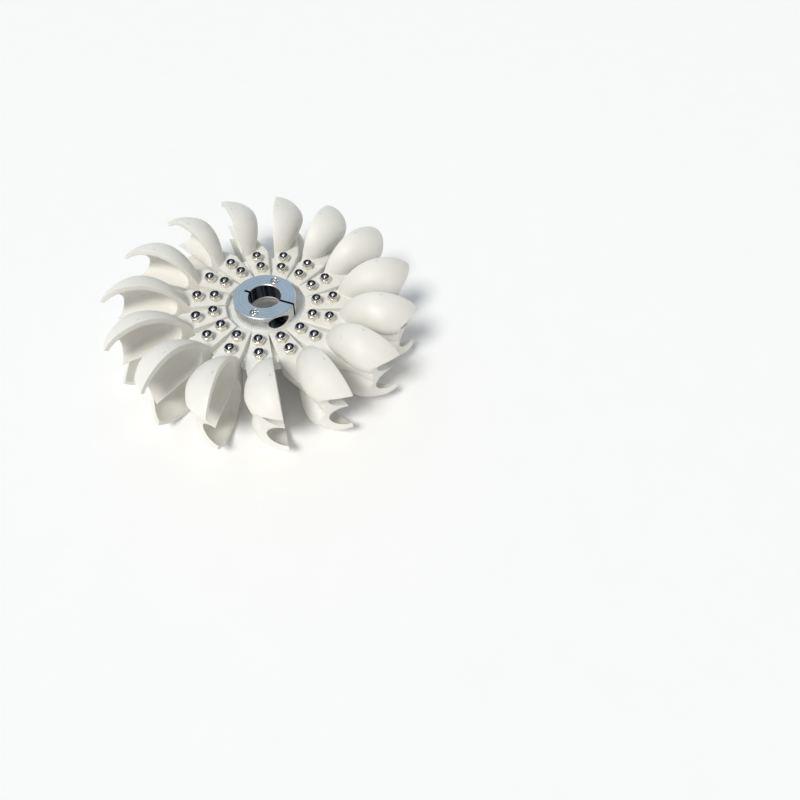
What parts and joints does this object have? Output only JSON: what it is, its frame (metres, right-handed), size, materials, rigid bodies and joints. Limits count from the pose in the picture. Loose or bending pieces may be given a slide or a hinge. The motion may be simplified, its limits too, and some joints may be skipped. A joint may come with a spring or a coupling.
{
  "type": "pelton wheel",
  "caption": "Small pelton water turbine wheel: moulded double buckets bolted round an aluminium disc, with a split clamp collar for the shaft.",
  "frame": {"origin": "the wheel's centre: on the shaft line, in the plane of the splitters, half way through the disc", "axes": "+Z along the shaft, towards the clamp collar; +Y along the first bucket's outer bolt; the buckets open anticlockwise seen from +Z"},
  "size_m": [0.2358, 0.235, 0.0652],
  "materials": {
    "bucket_plastic": "warm white moulded nylon, satin, lightly scuffed",
    "aluminium": "machined, fine turning marks",
    "steel": "zinc plated socket screw"
  },
  "bodies": {
    "root": {"disc": "aluminium", "clamp_collar": "aluminium", "clamp_screw": "steel", "collar_screw_back": "steel", "collar_screw_front": "steel", "bucket_01": "bucket_plastic", "bucket_02": "bucket_plastic", "bucket_03": "bucket_plastic", "bucket_04": "bucket_plastic", "bucket_05": "bucket_plastic", "bucket_06": "bucket_plastic", "bucket_07": "bucket_plastic", "bucket_08": "bucket_plastic", "bucket_09": "bucket_plastic", "bucket_10": "bucket_plastic", "bucket_11": "bucket_plastic", "bucket_12": "bucket_plastic", "bucket_13": "bucket_plastic", "bucket_14": "bucket_plastic", "bucket_15": "bucket_plastic"}
  },
  "joints": []
}
